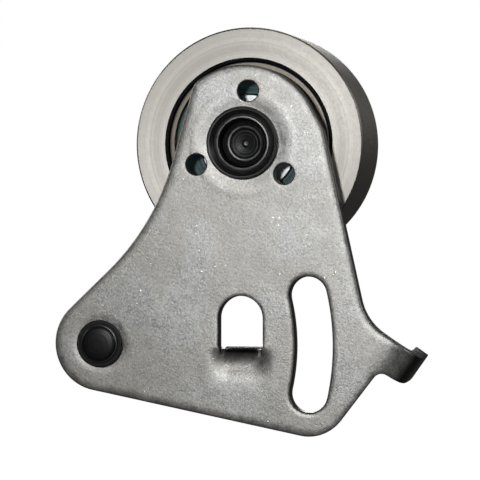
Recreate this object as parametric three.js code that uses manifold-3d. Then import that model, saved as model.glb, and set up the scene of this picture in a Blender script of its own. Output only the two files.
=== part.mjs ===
// Belt tensioner idler: a pressed steel bracket that swings on a pivot pin and carries a flat belt
// pulley on a sealed ball bearing.  Millimetres.  +Z up, +X right, the bracket faces -Y and the
// pulley sits behind it.  The origin is the centre of the pivot pin's rear end face.
import * as THREE from "three";
import { mergeVertices } from "three/addons/utils/BufferGeometryUtils.js";
import Module from "manifold-3d";

const wasm = await Module();
wasm.setup();

// ---------------------------------------------------------------- driving dimensions

const GAP = 0.2; // between pieces that bear on each other
const AXLE = { x: 41.6, z: 56.9 }; // pulley axis, seen from the pivot
const PIVOT = { x: 0, z: 0 };

const PLATE_T = 4; // bracket sheet thickness
const PLATE_FRONT = -16;
const PLATE_REAR = PLATE_FRONT + PLATE_T;
const EDGE_ROLL = 0.9; // rounding that blanking and tumbling leave on the outline

const LOBE_R = 13.6; // outline round the pivot
const FOOT = { x: 60.4, z: -13.2 }; // outline round the lower end of the slot
const FOOT_R = 12;
const CROWN_R = 22; // outline over the axle
const WAIST_R = 70; // hollow left side
const RIGHT_SIDE = { off: 23.2, heading: 102.65 }; // straight sides: distance from the axle, degrees
const LEFT_SIDE = { off: 18.3, heading: 254 };
const BOTTOM_HEADING = -11;
const FOOT_HEADING = 52.5; // from the foot up to the ear
const CROWN_HEADINGS = [118, 212];
const PIVOT_HEADING = 223.5;

const SLOT_R = 62.0; // clamp slot centreline, struck from the pivot
const SLOT_W = 10.6;
const SLOT_FROM = -12.4; // degrees
const SLOT_TO = 13.2;

const TOOL_HOLE_R = 2.95; // three holes round the hub
const TOOL_HOLE_PITCH_R = 14.7;
const TOOL_HOLE_FIRST = 84; // degrees

const BEND_R = 3; // inside radius of both bends
const WINDOW = { x: 41, top: 13.9, half: 6.35 }; // D-shaped window
const TAB_TOP = -0.5; // upper face of the tab bent out of the window
const TAB_HALF = 5.75;
const TAB_END = -1.5; // how far back the tab reaches
const TAB_ROOT = 0.1; // how far the tab's root runs into the sheet on each side

const ARM = { x: 84.1, z: -3.7 }; // a point on the ear's centreline
const ARM_HEADING = -35; // degrees
const ARM_UP = 4.65; // half widths above and below the centreline
const ARM_DOWN = 4.4;
const ARM_STUB = 2.6; // how far past ARM the flat part runs into the bend
const ARM_FILLET = 15; // between the arm and the right side
const ARM_CORNER = 1.2;
const EAR_OUT = 6; // outer face of the bent ear, ahead of ARM
const EAR_END = -0.6; // how far back the ear reaches
const LIP_UP = 0.6; // lip on the ear's free end
const LIP_LONG = 3.2;

const PIN_R = 4; // pivot pin
const PIN_HEAD_R = 5.5;
const PIN_PLAY = 0.1; // running clearance of the bush on the pin
const BUSH_R = 5.6; // bush pressed into the bracket
const BUSH_FLANGE_R = 6.75;
const BUSH_FACE = PLATE_FRONT - 1.2;
const WASHER_R = 8.2;
const CLIP_FRONT = PLATE_REAR + 1.8; // snap ring behind the washer
const CLIP_T = 1;
const CLIP_R = 5.6;
const CLIP_IN_R = 3.6;
const CLIP_GROOVE_R = 3.3;

const AXLE_R = 10; // 20 mm bearing seat
const AXLE_FACE = PLATE_FRONT - 1;
const NECK_R = 9.1; // the part of the axle riveted through the bracket
const AXLE_HEAD_R = 12.6;
const AXLE_HEAD_T = 3.2;
const SPACER_R = 11.4;

const BEARING_FRONT = AXLE_FACE + 9.2;
const BEARING_W = 14;
const BEARING_REAR = BEARING_FRONT + BEARING_W;
const BEARING_MID = BEARING_FRONT + BEARING_W / 2;
const BEARING_R = 23.5;
const OUTER_LAND_R = 19.9; // outer ring beside the balls
const INNER_LAND_R = 13.9;
const BALLS = 8;
const BALL_R = 3.97;
const PITCH_R = 16.75;
const RACE_SPACE = 0.15; // running space round each ball
const SEAL_R = 21.35;
const SEAL_IN_R = 14.2;
const SEAL_T = 1;
const SEAL_IN = 0.3; // how far a seal lies below the bearing face
const CAGE_T = 0.7;
const CAGE_IN_R = 15.4;
const CAGE_OUT_R = 18.1;
const CAGE_LAND = 0.1; // from the middle plane to each half
const RIVET_R = 0.75;
const RIVET_HEAD_R = 1.2;

const PULLEY_R = 33;
const PULLEY_FRONT = AXLE_FACE + 8.2;
const PULLEY_W = 25.7;
const PULLEY_REAR = PULLEY_FRONT + PULLEY_W;
const PULLEY_BORE_R = BEARING_R + GAP;
const PULLEY_LIP_R = 24.4; // where the bore chamfer meets the face
const PULLEY_STOP_R = 21.6; // shoulder behind the bearing
const PULLEY_STOP_T = 2.6;
const CAVITY_R = 25.4; // hollow back
const CAVITY_MOUTH_R = 27;

const ROUND = 48; // facets of a turned piece
const SMALL_ROUND = 32;

// ---------------------------------------------------------------- finishes

const finish = (color, roughness, metalness) => ({ color, roughness, metalness });
const RAW_STEEL = finish("#8e8c88", 0.5, 0.9);
const TURNED_STEEL = finish("#c9c6bf", 0.35, 0.95);
const GROUND_STEEL = finish("#dedad2", 0.22, 1);
const BALL_STEEL = finish("#eceae6", 0.08, 1);
const BLACK_OXIDE = finish("#1b1b1c", 0.35, 0.7);
const ZINC_STEEL = finish("#aeb3b6", 0.4, 0.9);
const SEAL_RUBBER = finish("#23555a", 0.6, 0);

// ---------------------------------------------------------------- helpers

const object = new THREE.Group();
const rad = THREE.MathUtils.degToRad;
const polar = (centre, r, degrees) => ({
  x: centre.x + r * Math.cos(rad(degrees)),
  z: centre.z + r * Math.sin(rad(degrees)),
});

// A geometry becomes a boolean solid, and back.
function solid(geometry) {
  const bare = geometry.clone();
  bare.deleteAttribute("normal");
  bare.deleteAttribute("uv");
  const merged = mergeVertices(bare, 1e-4);
  const vertProperties = new Float32Array(merged.attributes.position.array);
  const corners = merged.index.array;
  const triVerts = [];
  for (let i = 0; i < corners.length; i += 3) {
    const [a, b, c] = corners.subarray(i, i + 3);
    if (a !== b && b !== c && c !== a) triVerts.push(a, b, c);
  }
  const mesh = { numProp: 3, vertProperties, triVerts: new Uint32Array(triVerts) };
  return new wasm.Manifold(new wasm.Mesh(mesh));
}

function geometryOf(manifold) {
  const mesh = manifold.getMesh();
  const geometry = new THREE.BufferGeometry();
  geometry.setAttribute("position", new THREE.BufferAttribute(mesh.vertProperties, 3));
  geometry.setIndex(new THREE.BufferAttribute(mesh.triVerts, 1));
  return geometry;
}

function piece(name, shape, look, x = 0, z = 0) {
  const geometry = shape.isBufferGeometry ? shape : geometryOf(shape);
  const mesh = new THREE.Mesh(geometry, new THREE.MeshStandardMaterial(look));
  mesh.name = name;
  mesh.position.set(x, 0, z);
  object.add(mesh);
}

// A turned body on the Y axis, from [radius, y] corners listed with the outside going back (+Y).
function turned(corners, segments = ROUND) {
  const points = corners.map(([r, y]) => new THREE.Vector2(r, y));
  return new THREE.LatheGeometry(points, segments);
}

// A ring of rectangular section with chamfered outer edges.
function ring(rIn, rOut, y0, y1, chamfer = 0, segments = ROUND) {
  const c = chamfer;
  const square = [[rOut, y0], [rOut, y1]];
  const cut = [[rOut - c, y0], [rOut, y0 + c], [rOut, y1 - c], [rOut - c, y1]];
  return turned([[rIn, y0], ...(c > 0 ? cut : square), [rIn, y1], [rIn, y0]], segments);
}

// A flat shape drawn as x, z and thickened from yFront to yRear, with rolled edges if asked.
function sheet(shape, yFront, yRear, roll = 0) {
  const geometry = new THREE.ExtrudeGeometry(shape, {
    depth: yRear - yFront - 2 * roll,
    curveSegments: 8,
    bevelEnabled: roll > 0,
    bevelThickness: roll,
    bevelSize: roll,
    bevelOffset: -roll,
    bevelSegments: 2,
  });
  geometry.rotateX(Math.PI / 2);
  geometry.translate(0, yRear - roll, 0);
  return geometry;
}

// A straight side of an outline: a line at a distance from a centre, heading in degrees, with the
// rounding of the corner at its end.  The inside of the outline is on its left.
function side(centre, distance, heading, corner) {
  const direction = new THREE.Vector2(Math.cos(rad(heading)), Math.sin(rad(heading)));
  const start = new THREE.Vector2(centre.x + distance * direction.y, centre.z - distance * direction.x);
  return { start, direction, corner };
}

function meeting(a, b) {
  const between = b.start.clone().sub(a.start);
  const along = between.cross(b.direction) / a.direction.cross(b.direction);
  return a.start.clone().addScaledVector(a.direction, along);
}

// The outline that the sides enclose, every corner an arc tangent to its two sides.
function outline(sides) {
  const shape = new THREE.Shape();
  sides.forEach((before, i) => {
    const after = sides[(i + 1) % sides.length];
    const heading = before.direction;
    const turn = Math.atan2(heading.cross(after.direction), heading.dot(after.direction));
    const setBack = before.corner * Math.tan(Math.abs(turn) / 2);
    const start = meeting(before, after).addScaledVector(heading, -setBack);
    const inward = new THREE.Vector2(-heading.y, heading.x).multiplyScalar(Math.sign(turn));
    const centre = start.clone().addScaledVector(inward, before.corner);
    const from = Math.atan2(start.y - centre.y, start.x - centre.x);
    const steps = Math.max(2, Math.round(Math.abs(turn) / rad(11)));
    for (let k = 0; k <= steps; k++) {
      const a = from + (turn * k) / steps;
      const x = centre.x + before.corner * Math.cos(a);
      const y = centre.y + before.corner * Math.sin(a);
      if (i === 0 && k === 0) shape.moveTo(x, y);
      else shape.lineTo(x, y);
    }
  });
  shape.closePath();
  return shape;
}

// A drilled hole: a plain round cutter through the sheet.
function drill(centre, r, segments = SMALL_ROUND) {
  const cutter = new THREE.CylinderGeometry(r, r, 4 * PLATE_T, segments);
  cutter.translate(centre.x, PLATE_FRONT + PLATE_T / 2, centre.z);
  return solid(cutter);
}

// ---------------------------------------------------------------- bracket

function blankShape() {
  return outline([
    side(PIVOT, LOBE_R, BOTTOM_HEADING, FOOT_R),
    side(FOOT, FOOT_R, FOOT_HEADING, 2.5),
    side(ARM, ARM_DOWN, ARM_HEADING, ARM_CORNER),
    side(ARM, ARM_STUB, ARM_HEADING + 90, ARM_CORNER),
    side(ARM, ARM_UP, ARM_HEADING + 180, ARM_FILLET),
    side(AXLE, RIGHT_SIDE.off, RIGHT_SIDE.heading, 8),
    side(AXLE, CROWN_R, CROWN_HEADINGS[0], CROWN_R),
    side(AXLE, CROWN_R, CROWN_HEADINGS[1], 4.5),
    side(AXLE, LEFT_SIDE.off, LEFT_SIDE.heading, WAIST_R),
    side(PIVOT, LOBE_R, PIVOT_HEADING, LOBE_R),
  ]);
}

function slotShape() {
  const shape = new THREE.Shape();
  const half = SLOT_W / 2;
  const from = rad(SLOT_FROM);
  const to = rad(SLOT_TO);
  const top = polar(PIVOT, SLOT_R, SLOT_TO);
  const foot = polar(PIVOT, SLOT_R, SLOT_FROM);
  shape.absarc(0, 0, SLOT_R + half, from, to, false);
  shape.absarc(top.x, top.z, half, to, to + Math.PI, false);
  shape.absarc(0, 0, SLOT_R - half, to, from, true);
  shape.absarc(foot.x, foot.z, half, from + Math.PI, from + 2 * Math.PI, false);
  return shape;
}

// The window runs down to where the tab's bend starts.
function windowShape() {
  const bottom = TAB_TOP - BEND_R - PLATE_T;
  const shape = new THREE.Shape();
  shape.moveTo(WINDOW.x - WINDOW.half, bottom);
  shape.lineTo(WINDOW.x + WINDOW.half, bottom);
  shape.absarc(WINDOW.x, WINDOW.top - WINDOW.half, WINDOW.half, 0, Math.PI, false);
  return shape;
}

// Section of the sheet where it bends straight back: u runs along the sheet, v runs back.
// The section starts `run` before the bend and ends at v = reach; its outer face is at u = 0.
function bendSection(run, reach) {
  const outer = BEND_R + PLATE_T;
  const shape = new THREE.Shape();
  shape.moveTo(-outer - run, 0);
  shape.absarc(-outer, outer, outer, -Math.PI / 2, 0, false);
  shape.lineTo(0, reach);
  shape.lineTo(-PLATE_T, reach);
  shape.absarc(-outer, outer, BEND_R, 0, -Math.PI / 2, true);
  shape.lineTo(-outer - run, PLATE_T);
  return shape;
}

// Places geometry drawn in (u, v, w): u along the sheet, v back, w across.
function placeBend(geometry, headingDegrees, x, z) {
  const u = new THREE.Vector3(Math.cos(rad(headingDegrees)), 0, Math.sin(rad(headingDegrees)));
  const v = new THREE.Vector3(0, 1, 0);
  const w = new THREE.Vector3().crossVectors(u, v);
  const place = new THREE.Matrix4().makeBasis(u, v, w).setPosition(x, PLATE_FRONT, z);
  return geometry.applyMatrix4(place);
}

function extruded(shape, from, to) {
  const options = { depth: to - from, bevelEnabled: false, curveSegments: 5 };
  return new THREE.ExtrudeGeometry(shape, options).translate(0, 0, from);
}

// The tab: bent straight back out of the window.  It is as wide as the window where the sheet
// turns, narrower behind it, and its free end is round as the window's head is.
function tab() {
  const root = WINDOW.half + TAB_ROOT;
  const neck = PLATE_REAR + 0.6;
  const bent = extruded(bendSection(2, TAB_END - PLATE_FRONT), -root, root);
  const body = solid(placeBend(bent, 90, WINDOW.x, TAB_TOP));
  const plan = new THREE.Shape();
  plan.moveTo(WINDOW.x - root, PLATE_FRONT - 1);
  plan.lineTo(WINDOW.x + root, PLATE_FRONT - 1);
  plan.lineTo(WINDOW.x + root, PLATE_REAR);
  plan.lineTo(WINDOW.x + TAB_HALF, neck);
  plan.absarc(WINDOW.x, TAB_END - TAB_HALF, TAB_HALF, 0, Math.PI, false);
  plan.lineTo(WINDOW.x - TAB_HALF, neck);
  plan.lineTo(WINDOW.x - root, PLATE_REAR);
  return body.intersect(solid(extruded(plan, -20, 10)));
}

// The space outside a bend, which the flat sheet must leave free.
function bendRelief() {
  const outer = BEND_R + PLATE_T;
  const shape = new THREE.Shape();
  shape.moveTo(-outer, -1);
  shape.lineTo(1, -1);
  shape.lineTo(1, outer);
  shape.absarc(-outer, outer, outer, 0, -Math.PI / 2, true);
  return shape;
}

// The ear: the arm's end bent straight back, with a lip along the top of its free end.
function ear() {
  const reach = EAR_END - PLATE_FRONT;
  const bent = extruded(bendSection(4, reach), -ARM_DOWN, ARM_UP);
  const heel = polar(ARM, EAR_OUT, ARM_HEADING);
  const body = solid(placeBend(bent, ARM_HEADING, heel.x, heel.z));
  const lip = new THREE.BoxGeometry(PLATE_T, LIP_LONG, LIP_UP + 1);
  lip.translate(-PLATE_T / 2, reach - LIP_LONG / 2, ARM_UP + LIP_UP / 2 - 0.5);
  return body.add(solid(placeBend(lip, ARM_HEADING, heel.x, heel.z)));
}

function bracketPlate() {
  const heel = polar(ARM, EAR_OUT, ARM_HEADING);
  const relief = placeBend(extruded(bendRelief(), -6, 6), ARM_HEADING, heel.x, heel.z);
  let plate = solid(sheet(blankShape(), PLATE_FRONT, PLATE_REAR, EDGE_ROLL));
  plate = plate.subtract(solid(relief));
  plate = plate.subtract(drill(PIVOT, BUSH_R + GAP));
  plate = plate.subtract(drill(AXLE, NECK_R + GAP, ROUND));
  for (let i = 0; i < 3; i++) {
    const place = polar(AXLE, TOOL_HOLE_PITCH_R, TOOL_HOLE_FIRST + 120 * i);
    plate = plate.subtract(drill(place, TOOL_HOLE_R));
  }
  plate = plate.subtract(solid(sheet(slotShape(), PLATE_FRONT - 1, PLATE_REAR + 1)));
  plate = plate.subtract(solid(sheet(windowShape(), PLATE_FRONT - 1, PLATE_REAR + 1)));
  return plate.add(tab()).add(ear());
}

// ---------------------------------------------------------------- axle

// Turned from bar: blind stepped bore and riveted flange in front, bearing seat, head behind.
function axlePin() {
  const f = AXLE_FACE;
  const bore = [[0, f + 5.9], [4.3, f + 4.9], [5.2, f + 4.15], [6.2, f + 4.05], [6.8, f + 1.2]];
  const rim = [[7.1, f + 0.75], [7.5, f + 0.85], [8.15, f + 1.35], [8.8, f + 0.75], [9.4, f + 0.15]];
  const flange = [[AXLE_R, f], [10.3, f + 0.3], [10.3, PLATE_FRONT - GAP]];
  const neck = [[NECK_R, PLATE_FRONT - GAP], [NECK_R, PLATE_REAR + GAP]];
  const under = BEARING_REAR + GAP;
  const end = under + AXLE_HEAD_T;
  const seat = [[AXLE_R, PLATE_REAR + GAP], [AXLE_R, under]];
  const head = [[AXLE_HEAD_R, under], [AXLE_HEAD_R, end - 0.6], [AXLE_HEAD_R - 0.6, end], [0, end]];
  return turned([...bore, ...rim, ...flange, ...neck, ...seat, ...head]);
}

function axleSpacer() {
  return ring(AXLE_R + GAP, SPACER_R, PLATE_REAR + GAP, BEARING_FRONT - GAP);
}

// ---------------------------------------------------------------- bearing

// Ball groove in a section: ward -1 is the inner ring's groove, listed going back, and ward 1 the
// outer ring's, listed coming forward.
function groove(ward, landR) {
  const r = BALL_R + RACE_SPACE;
  const steps = 4;
  const reach = Math.acos(Math.abs(landR - PITCH_R) / r);
  return Array.from({ length: steps + 1 }, (_, k) => {
    const a = reach * ((2 * k) / steps - 1);
    return [PITCH_R + ward * r * Math.cos(a), BEARING_MID - ward * r * Math.sin(a)];
  });
}

function innerRing() {
  const bore = AXLE_R + GAP;
  const cut = 0.5; // corner chamfer
  const front = [[bore, BEARING_FRONT + cut], [bore + cut, BEARING_FRONT], [INNER_LAND_R, BEARING_FRONT]];
  const rear = [[INNER_LAND_R, BEARING_REAR], [bore + cut, BEARING_REAR], [bore, BEARING_REAR - cut]];
  return turned([...front, ...groove(-1, INNER_LAND_R), ...rear, front[0]]);
}

// Each side has a pocket that the seal sits in.
function outerRing() {
  const cut = 0.4; // corner chamfer
  const seat = SEAL_R + 0.25;
  const mouth = seat + 0.3;
  const depth = SEAL_IN + SEAL_T + 0.3;
  const front = [[mouth, BEARING_FRONT], [BEARING_R - cut, BEARING_FRONT], [BEARING_R, BEARING_FRONT + cut]];
  const rear = [[BEARING_R, BEARING_REAR - cut], [BEARING_R - cut, BEARING_REAR], [mouth, BEARING_REAR]];
  const pocket = (face, inward) => [
    [seat, face + inward * 0.3],
    [seat, face + inward * depth],
    [OUTER_LAND_R, face + inward * depth],
  ];
  const rearPocket = pocket(BEARING_REAR, -1);
  const frontPocket = pocket(BEARING_FRONT, 1).reverse();
  const race = groove(1, OUTER_LAND_R);
  return turned([...front, ...rear, ...rearPocket, ...race, ...frontPocket, front[0]]);
}

// A rubber seal whose face looks to -Y when facing is 1 and to +Y when it is -1.
function seal(faceY, facing) {
  const lip = [[SEAL_IN_R, 0.15], [14.9, 0.1], [15.3, 0.35]];
  const web = [[20.2, 0.25], [20.6, 0], [SEAL_R, 0.1]];
  const corners = [...lip, ...web, [SEAL_R, SEAL_T], [SEAL_IN_R, SEAL_T]];
  const placed = corners.map(([r, depth]) => [r, faceY + facing * depth]);
  if (facing < 0) placed.reverse();
  return turned([...placed, placed[0]], 40);
}

// Half of the pressed cage: a ribbon that steps outward round each ball.  Facing is -1 for the
// front half and 1 for the rear half.
function cageHalf(facing) {
  const faces = [CAGE_LAND, CAGE_LAND + CAGE_T].map((away) => BEARING_MID + facing * away);
  const ribbon = ring(CAGE_IN_R, CAGE_OUT_R, Math.min(...faces), Math.max(...faces), 0, 8 * BALLS);
  const position = ribbon.attributes.position;
  const pocket = BALL_R + 0.2;
  const step = (2 * Math.PI) / BALLS;
  for (let i = 0; i < position.count; i++) {
    const angle = Math.atan2(position.getZ(i), position.getX(i));
    const fromBall = angle - Math.round(angle / step) * step;
    const rise = Math.sqrt(Math.max(0, pocket ** 2 - (PITCH_R * fromBall) ** 2));
    position.setY(i, position.getY(i) + facing * Math.max(0, rise - CAGE_LAND));
  }
  return ribbon;
}

function withRivetHoles(half) {
  let body = solid(half);
  for (let i = 0; i < BALLS; i++) {
    const place = polar(PIVOT, PITCH_R, (360 / BALLS) * (i + 0.5));
    const holeR = RIVET_R + GAP;
    const cutter = new THREE.CylinderGeometry(holeR, holeR, 4, 8);
    cutter.translate(place.x, BEARING_MID, place.z);
    body = body.subtract(solid(cutter));
  }
  return body;
}

function cageRivet() {
  const grip = CAGE_LAND + CAGE_T + 0.05;
  const head = grip + 0.45;
  const front = [[0, -head], [0.9, -head], [RIVET_HEAD_R, -grip], [RIVET_R, -grip]];
  const rear = [[RIVET_R, grip], [RIVET_HEAD_R, grip], [0.9, head], [0, head]];
  return turned([...front, ...rear], 8).translate(0, BEARING_MID, 0);
}

function ball() {
  const sphere = new THREE.SphereGeometry(BALL_R, 12, 8);
  return sphere.translate(0, BEARING_MID, 0);
}

// ---------------------------------------------------------------- pulley

function pulleyRim() {
  const cut = 0.4; // edge chamfer
  const stop = BEARING_REAR + GAP;
  const floor = stop + PULLEY_STOP_T;
  const front = [[PULLEY_LIP_R, PULLEY_FRONT], [PULLEY_R - cut, PULLEY_FRONT]];
  const belt = [[PULLEY_R, PULLEY_FRONT + cut], [PULLEY_R, PULLEY_REAR - cut]];
  const rear = [[PULLEY_R - cut, PULLEY_REAR], [CAVITY_MOUTH_R, PULLEY_REAR]];
  const cavity = [[CAVITY_MOUTH_R - 0.8, PULLEY_REAR - 0.8], [CAVITY_R, floor], [PULLEY_STOP_R, floor]];
  const bore = [[PULLEY_STOP_R, stop], [PULLEY_BORE_R, stop]];
  const chamfer = [[PULLEY_BORE_R, PULLEY_FRONT + PULLEY_LIP_R - PULLEY_BORE_R], front[0]];
  return turned([...front, ...belt, ...rear, ...cavity, ...bore, ...chamfer], 60);
}

// ---------------------------------------------------------------- pivot

function pivotBush() {
  const under = PLATE_FRONT - GAP;
  const bore = PIN_R + PIN_PLAY;
  const edge = 0.3;
  const face = [[bore, BUSH_FACE], [BUSH_FLANGE_R - edge, BUSH_FACE], [BUSH_FLANGE_R, BUSH_FACE + edge]];
  const barrel = [[BUSH_FLANGE_R, under], [BUSH_R, under], [BUSH_R, PLATE_REAR], [bore, PLATE_REAR]];
  return turned([...face, ...barrel, face[0]], SMALL_ROUND);
}

function pivotPin() {
  const under = BUSH_FACE - GAP;
  const crown = [[0, under - 1.2], [2.4, under - 1.08], [4.3, under - 0.72]];
  const head = [[5.2, under - 0.4], [PIN_HEAD_R, under], [PIN_R, under]];
  const front = CLIP_FRONT - 0.1;
  const back = CLIP_FRONT + CLIP_T + 0.1;
  const clipGroove = [[PIN_R, front], [CLIP_GROOVE_R, front], [CLIP_GROOVE_R, back], [PIN_R, back]];
  const end = [[PIN_R, -0.6], [PIN_R - 0.6, 0], [0, 0]];
  return turned([...crown, ...head, ...clipGroove, ...end], SMALL_ROUND);
}

function pivotWasher() {
  return ring(PIN_R + GAP, WASHER_R, PLATE_REAR + GAP, PLATE_REAR + 1.6, 0.3, SMALL_ROUND);
}

// Snap ring with its opening at the bottom.
function pivotCirclip() {
  const mouth = 0.55; // half the opening, in radians
  const from = mouth - Math.PI / 2;
  const to = 1.5 * Math.PI - mouth;
  const shape = new THREE.Shape();
  shape.absarc(0, 0, CLIP_R, from, to, false);
  shape.absarc(0, 0, CLIP_IN_R, to, from, true);
  return sheet(shape, CLIP_FRONT, CLIP_FRONT + CLIP_T);
}

// ---------------------------------------------------------------- assembly

piece("pivot_pin", pivotPin(), BLACK_OXIDE);
piece("pivot_washer", pivotWasher(), ZINC_STEEL);
piece("pivot_circlip", pivotCirclip(), BLACK_OXIDE);

piece("bracket_plate", bracketPlate(), RAW_STEEL);
piece("pivot_bush", pivotBush(), BLACK_OXIDE);
piece("axle_pin", axlePin(), BLACK_OXIDE, AXLE.x, AXLE.z);
piece("axle_spacer", axleSpacer(), ZINC_STEEL, AXLE.x, AXLE.z);
piece("bearing_inner_ring", innerRing(), GROUND_STEEL, AXLE.x, AXLE.z);

piece("pulley_rim", pulleyRim(), TURNED_STEEL, AXLE.x, AXLE.z);
piece("bearing_outer_ring", outerRing(), GROUND_STEEL, AXLE.x, AXLE.z);
piece("bearing_front_seal", seal(BEARING_FRONT + SEAL_IN, 1), SEAL_RUBBER, AXLE.x, AXLE.z);
piece("bearing_rear_seal", seal(BEARING_REAR - SEAL_IN, -1), SEAL_RUBBER, AXLE.x, AXLE.z);

piece("cage_front", withRivetHoles(cageHalf(-1)), ZINC_STEEL, AXLE.x, AXLE.z);
piece("cage_rear", withRivetHoles(cageHalf(1)), ZINC_STEEL, AXLE.x, AXLE.z);
for (let i = 0; i < BALLS; i++) {
  const step = 360 / BALLS;
  const rivet = polar(AXLE, PITCH_R, step * (i + 0.5));
  const centre = polar(AXLE, PITCH_R, step * i);
  piece(`cage_rivet_${i + 1}`, cageRivet(), ZINC_STEEL, rivet.x, rivet.z);
  piece(`bearing_ball_${i + 1}`, ball(), BALL_STEEL, centre.x, centre.z);
}

export default object;
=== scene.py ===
import math

import bmesh
import bpy
import numpy as np
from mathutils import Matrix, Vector, geometry, noise


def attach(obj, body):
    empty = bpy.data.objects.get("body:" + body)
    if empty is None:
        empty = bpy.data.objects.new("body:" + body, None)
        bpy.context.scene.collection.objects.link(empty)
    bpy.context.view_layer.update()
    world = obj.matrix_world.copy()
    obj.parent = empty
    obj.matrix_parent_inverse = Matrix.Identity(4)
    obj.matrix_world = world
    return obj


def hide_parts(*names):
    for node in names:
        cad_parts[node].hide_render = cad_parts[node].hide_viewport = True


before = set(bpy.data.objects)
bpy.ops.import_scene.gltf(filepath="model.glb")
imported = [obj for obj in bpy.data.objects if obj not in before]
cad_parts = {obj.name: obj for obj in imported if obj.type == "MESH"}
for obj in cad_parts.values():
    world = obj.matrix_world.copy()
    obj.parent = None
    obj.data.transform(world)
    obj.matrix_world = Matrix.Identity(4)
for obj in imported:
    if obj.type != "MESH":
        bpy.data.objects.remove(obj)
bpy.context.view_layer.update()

# The model is drawn in millimetres and scaled once, where its meshes are made.
# Places are x, z in the bracket's plane; y is the depth, with the bracket's front at -16.
MM = 0.001
AXLE = (41.6, 56.9)
PIVOT = (0.0, 0.0)
FOOT = (60.4, -13.2)
ARM = (84.1, -3.7)
ARM_HEADING = -35.0
ARM_ABOVE = 4.65
ARM_BELOW = 4.4
WINDOW_X = 41.0
WINDOW_HALF = 6.35
WINDOW_TOP = 13.9
WINDOW_FOOT = -1.2
SLOT_R = 62.0
SLOT_HALF = 5.3
SLOT_FROM = math.radians(-12.4)
SLOT_TO = math.radians(13.2)
PLATE_T = 4.0
FRONT = -16.0
REAR = FRONT + PLATE_T
BEND_OUT = 7.0
TAB_BEND_Z = -7.5
TAB_FOOT_Z = -6.9
TAB_SET_BACK = 0.95
TAB_BEND = 6.4
TAB_HALF = 5.75
TAB_BEYOND_BEND = 7.35
TAB_T = 3.0
AXLE_HOLE_R = 9.3
PIVOT_HOLE_R = 5.8
TOOL_HOLE_R = 2.95
TOOL_HOLES = 3
TOOL_CIRCLE_R = 14.7
FIRST_TOOL_HOLE = 84
AXLE_FACE = -17.0
BEARING_FRONT = -7.8
BEARING_REAR = 6.2
BEARING_MID = -0.8
BEARING_BORE_R = 10.2
BEARING_R = 23.5
INNER_LAND_R = 13.9
OUTER_LAND_R = 19.9
BALLS = 8
BALL_R = 3.97
PITCH_R = 16.75
PULLEY_R = 33.0
PULLEY_BORE_R = 23.7
PULLEY_FRONT = -8.8
PULLEY_REAR = 16.9
PIN_R = 4
SNAP_FRONT = REAR + 1.8
SNAP_T = 1.0
FIT = 0.2


# ---------------------------------------------------------------- mesh helpers

def unit(degrees):
    a = math.radians(degrees)
    return np.array([math.cos(a), math.sin(a)])


def cross(a, b):
    return a[0] * b[1] - a[1] * b[0]


def smoothstep(low, high, value):
    t = np.clip((value - low) / (high - low), 0, 1)
    return t * t * (3 - 2 * t)


def finish_mesh(name, verts, faces, sharp=35.0, at=(0, 0)):
    """A shown object from millimetre vertices; at is the x, z of its origin."""
    mesh = bpy.data.meshes.new(name)
    mesh.from_pydata([Vector(v) * MM for v in verts], [], faces)
    bm = bmesh.new()
    bm.from_mesh(mesh)
    bmesh.ops.remove_doubles(bm, verts=bm.verts, dist=1e-7)
    bmesh.ops.recalc_face_normals(bm, faces=bm.faces)
    soften(bm, sharp)
    bm.to_mesh(mesh)
    bm.free()
    obj = bpy.data.objects.new(name, mesh)
    bpy.context.scene.collection.objects.link(obj)
    obj.location = (at[0] * MM, 0, at[1] * MM)
    return obj


def soften(bm, sharp):
    limit = math.radians(sharp)
    for face in bm.faces:
        face.smooth = True
    for edge in bm.edges:
        edge.smooth = len(edge.link_faces) < 2 or edge.calc_face_angle(0) < limit


def rounded(profile, steps=4):
    """Profile corners [r, y, rounding]; each rounding becomes an arc between two support points."""
    points = []
    n = len(profile)
    for i, corner in enumerate(profile):
        here = np.array(corner[:2], float)
        radius = corner[2] if len(corner) > 2 else 0.0
        before = np.array(profile[i - 1][:2], float)
        after = np.array(profile[(i + 1) % n][:2], float)
        if radius <= 0 or (i in (0, n - 1) and profile[0][0] == 0):
            points.append(here)
            continue
        a, b = before - here, after - here
        la, lb = np.linalg.norm(a), np.linalg.norm(b)
        a, b = a / la, b / lb
        half = math.acos(max(-1, min(1, float(a @ b)))) / 2
        reach = min(radius / math.tan(half), la * 0.45, lb * 0.45)
        radius = reach * math.tan(half)
        middle = here + (a + b) / np.linalg.norm(a + b) * (radius / math.sin(half))
        start, end = here + a * reach, here + b * reach
        points.append(start + a * min(0.04, la * 0.04))
        for k in range(steps + 1):
            t = k / steps
            chord = start * (1 - t) + end * t - middle
            points.append(middle + chord / np.linalg.norm(chord) * radius)
        points.append(end + b * min(0.04, lb * 0.04))
    return points


def turned(name, profile, at, segments=144, steps=4, sharp=35.0):
    """A turned body on the Y axis.  A profile that starts at the axis also ends there."""
    closed = profile[0][0] > 0
    points = rounded(profile, steps)
    verts, faces, rings = [], [], []
    for r, y in points:
        if r < 1e-6:
            rings.append([len(verts)])
            verts.append((0, y, 0))
        else:
            rings.append(list(range(len(verts), len(verts) + segments)))
            for k in range(segments):
                a = 2 * math.pi * k / segments
                verts.append((r * math.cos(a), y, r * math.sin(a)))
    pairs = list(zip(rings, rings[1:])) + ([(rings[-1], rings[0])] if closed else [])
    for a, b in pairs:
        for k in range(segments):
            j = (k + 1) % segments
            quad = [a[k % len(a)], a[j % len(a)], b[j % len(b)], b[k % len(b)]]
            quad = [v for i, v in enumerate(quad) if v not in quad[:i]]
            if len(quad) > 2:
                faces.append(quad)
    return finish_mesh(name, verts, faces, sharp, at)


# ---------------------------------------------------------------- flat outlines and sheets

SHOULDER_FROM = 12


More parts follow.
